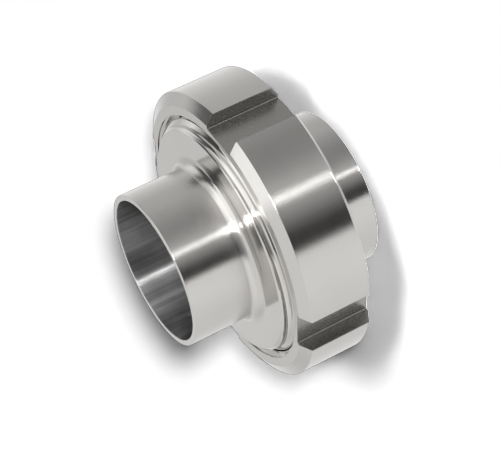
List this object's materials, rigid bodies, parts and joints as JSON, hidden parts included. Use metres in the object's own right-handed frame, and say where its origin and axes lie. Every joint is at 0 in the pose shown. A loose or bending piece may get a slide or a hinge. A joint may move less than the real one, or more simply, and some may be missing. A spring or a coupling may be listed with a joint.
{
  "type": "screwed sanitary union",
  "caption": "Screwed pipe union for hygienic lines: a slotted round nut draws a cone-collared liner against a threaded male part and its seal ring.",
  "frame": {"origin": "on the axis of the bore, at the plane of the liner's weld end, on which the union stands", "axes": "+Z along the bore from the liner's weld end to the male part's weld end; +X and +Y each pass through the middle of a spanner slot"},
  "size_m": [0.0772, 0.0772, 0.053],
  "materials": {
    "liner_steel": "fine-turned stainless steel",
    "nut_steel": "turned stainless steel with milled slots",
    "male_steel": "polished turned stainless steel",
    "seal_rubber": "smooth moulded black rubber"
  },
  "bodies": {
    "liner": {"liner": "liner_steel"},
    "nut": {"union_nut": "nut_steel"},
    "male": {"male_part": "male_steel", "seal_ring": "seal_rubber"}
  },
  "joints": [
    {"name": "nut_turn", "type": "hinge", "parent": "liner", "child": "nut", "pos_m": [0, 0, 0.0228], "axis": [0, 0, -1], "range_deg": [0, 1170]},
    {"name": "male_lift", "type": "slide", "parent": "liner", "child": "male", "axis": [0, 0, 1], "range_m": [0, 0.0138]}
  ],
  "couplings": [
    {"joint": "male_lift", "follows": "nut_turn", "m_per_rad": 0.00067376}
  ]
}
